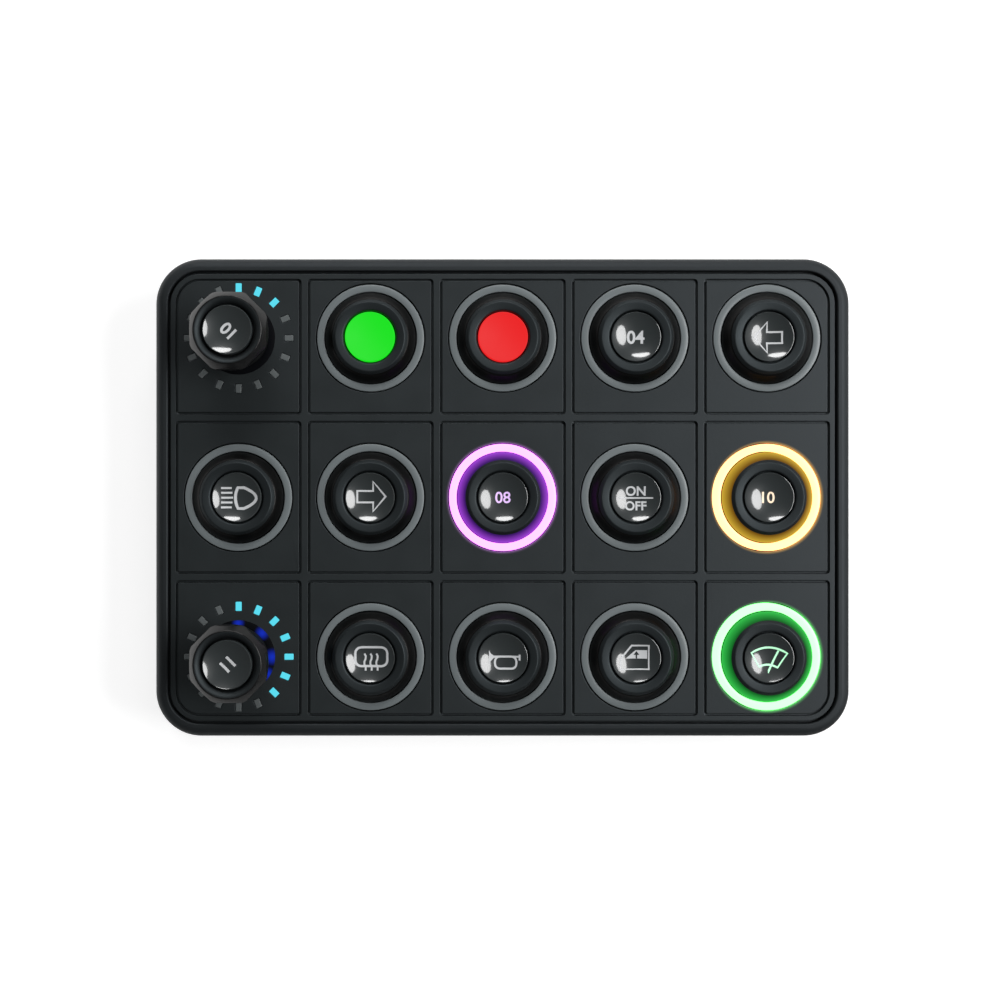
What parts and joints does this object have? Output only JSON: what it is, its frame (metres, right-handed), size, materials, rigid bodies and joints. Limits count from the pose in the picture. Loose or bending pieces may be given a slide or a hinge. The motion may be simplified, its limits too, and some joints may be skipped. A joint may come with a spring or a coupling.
{
  "type": "illuminated control keypad with rotary knobs",
  "caption": "Back-mounted control keypad: rows of square fields with round push keys in halo light rings, and pressable rotary knobs inside lit tick scales.",
  "frame": {"origin": "centre of the flat back face that lies against the mounting panel", "axes": "+Z out of the keys, +X along the rows away from the knobs, +Y towards the first row"},
  "size_m": [0.1582, 0.109, 0.039],
  "materials": {
    "housing_plastic": "fine-textured black glass-filled nylon",
    "mat_silicone": "matte black silicone",
    "cap_plastic": "satin black soft-touch cap",
    "insert_resin": "glossy black dished resin with a pale legend",
    "insert_green": "dished resin lit green from behind",
    "insert_red": "dished resin lit red from behind",
    "halo_plain": "frosted translucent light guide, unlit",
    "halo_violet": "frosted light guide lit violet",
    "halo_amber": "frosted light guide lit amber",
    "halo_green": "frosted light guide lit green",
    "tick_guide": "frosted translucent light guide of the scale, unlit",
    "tick_lit": "frosted light guide lit cyan",
    "legend_white": "back-lit white legend under the insert's surface",
    "knob_plastic": "satin black soft-touch knob",
    "shaft_metal": "turned bright shaft",
    "encoder_plastic": "moulded black plastic",
    "gasket_rubber": "soft black rubber",
    "board_laminate": "green glass-epoxy laminate",
    "switch_plastic": "moulded black plastic",
    "lamp_resin": "white diode body with a clear window",
    "connector_plastic": "moulded black nylon",
    "pin_brass": "tinned brass pins",
    "insert_brass": "turned brass inserts"
  },
  "bodies": {
    "housing": {"board_lamps": "lamp_resin", "circuit_board": "board_laminate", "connector_pins": "pin_brass", "connector_socket": "connector_plastic", "cover_gasket": "gasket_rubber", "encoder_bodies": "encoder_plastic", "face_mat": "mat_silicone", "front_housing": "housing_plastic", "halo_rings": "halo_plain", "key_switches": "switch_plastic", "light_collars": "tick_guide", "mounting_inserts": "insert_brass", "rear_cover": "housing_plastic", "tick_guide_1": "tick_guide", "tick_guide_2": "tick_guide"},
    "key_r1c2": {"key_cap_r1c2": "cap_plastic", "key_insert_r1c2": "insert_green"},
    "key_r1c3": {"key_cap_r1c3": "cap_plastic", "key_insert_r1c3": "insert_red"},
    "key_r1c4": {"key_cap_r1c4": "cap_plastic", "key_insert_r1c4": "insert_resin"},
    "key_r1c5": {"key_cap_r1c5": "cap_plastic", "key_insert_r1c5": "insert_resin"},
    "key_r2c1": {"key_cap_r2c1": "cap_plastic", "key_insert_r2c1": "insert_resin"},
    "key_r2c2": {"key_cap_r2c2": "cap_plastic", "key_insert_r2c2": "insert_resin"},
    "key_r2c3": {"key_cap_r2c3": "cap_plastic", "key_insert_r2c3": "insert_resin"},
    "key_r2c4": {"key_cap_r2c4": "cap_plastic", "key_insert_r2c4": "insert_resin"},
    "key_r2c5": {"key_cap_r2c5": "cap_plastic", "key_insert_r2c5": "insert_resin"},
    "key_r3c2": {"key_cap_r3c2": "cap_plastic", "key_insert_r3c2": "insert_resin"},
    "key_r3c3": {"key_cap_r3c3": "cap_plastic", "key_insert_r3c3": "insert_resin"},
    "key_r3c4": {"key_cap_r3c4": "cap_plastic", "key_insert_r3c4": "insert_resin"},
    "key_r3c5": {"key_cap_r3c5": "cap_plastic", "key_insert_r3c5": "insert_resin"},
    "knob_1_rotor": {"encoder_rotor_1": "encoder_plastic"},
    "knob_1": {"encoder_shaft_1": "shaft_metal", "knob_grip_1": "knob_plastic", "knob_insert_1": "insert_resin"},
    "knob_2_rotor": {"encoder_rotor_2": "encoder_plastic"},
    "knob_2": {"encoder_shaft_2": "shaft_metal", "knob_grip_2": "knob_plastic", "knob_insert_2": "insert_resin"}
  },
  "joints": [
    {"name": "key_r1c2_press", "type": "slide", "parent": "housing", "child": "key_r1c2", "axis": [0, 0, -1], "range_m": [0, 0.0012], "stiffness_N_per_m": 2500},
    {"name": "key_r1c3_press", "type": "slide", "parent": "housing", "child": "key_r1c3", "axis": [0, 0, -1], "range_m": [0, 0.0012], "stiffness_N_per_m": 2500},
    {"name": "key_r1c4_press", "type": "slide", "parent": "housing", "child": "key_r1c4", "axis": [0, 0, -1], "range_m": [0, 0.0012], "stiffness_N_per_m": 2500},
    {"name": "key_r1c5_press", "type": "slide", "parent": "housing", "child": "key_r1c5", "axis": [0, 0, -1], "range_m": [0, 0.0012], "stiffness_N_per_m": 2500},
    {"name": "key_r2c1_press", "type": "slide", "parent": "housing", "child": "key_r2c1", "axis": [0, 0, -1], "range_m": [0, 0.0012], "stiffness_N_per_m": 2500},
    {"name": "key_r2c2_press", "type": "slide", "parent": "housing", "child": "key_r2c2", "axis": [0, 0, -1], "range_m": [0, 0.0012], "stiffness_N_per_m": 2500},
    {"name": "key_r2c3_press", "type": "slide", "parent": "housing", "child": "key_r2c3", "axis": [0, 0, -1], "range_m": [0, 0.0012], "stiffness_N_per_m": 2500},
    {"name": "key_r2c4_press", "type": "slide", "parent": "housing", "child": "key_r2c4", "axis": [0, 0, -1], "range_m": [0, 0.0012], "stiffness_N_per_m": 2500},
    {"name": "key_r2c5_press", "type": "slide", "parent": "housing", "child": "key_r2c5", "axis": [0, 0, -1], "range_m": [0, 0.0012], "stiffness_N_per_m": 2500},
    {"name": "key_r3c2_press", "type": "slide", "parent": "housing", "child": "key_r3c2", "axis": [0, 0, -1], "range_m": [0, 0.0012], "stiffness_N_per_m": 2500},
    {"name": "key_r3c3_press", "type": "slide", "parent": "housing", "child": "key_r3c3", "axis": [0, 0, -1], "range_m": [0, 0.0012], "stiffness_N_per_m": 2500},
    {"name": "key_r3c4_press", "type": "slide", "parent": "housing", "child": "key_r3c4", "axis": [0, 0, -1], "range_m": [0, 0.0012], "stiffness_N_per_m": 2500},
    {"name": "key_r3c5_press", "type": "slide", "parent": "housing", "child": "key_r3c5", "axis": [0, 0, -1], "range_m": [0, 0.0012], "stiffness_N_per_m": 2500},
    {"name": "knob_1_turn", "type": "hinge", "parent": "housing", "child": "knob_1_rotor", "pos_m": [-0.06, 0.0362, 0.0118], "axis": [0, 0, 1], "continuous": true},
    {"name": "knob_1_press", "type": "slide", "parent": "knob_1_rotor", "child": "knob_1", "axis": [0, 0, -1], "range_m": [0, 0.0005], "stiffness_N_per_m": 8000},
    {"name": "knob_2_turn", "type": "hinge", "parent": "housing", "child": "knob_2_rotor", "pos_m": [-0.06, -0.0362, 0.0118], "axis": [0, 0, 1], "continuous": true},
    {"name": "knob_2_press", "type": "slide", "parent": "knob_2_rotor", "child": "knob_2", "axis": [0, 0, -1], "range_m": [0, 0.0005], "stiffness_N_per_m": 8000}
  ]
}
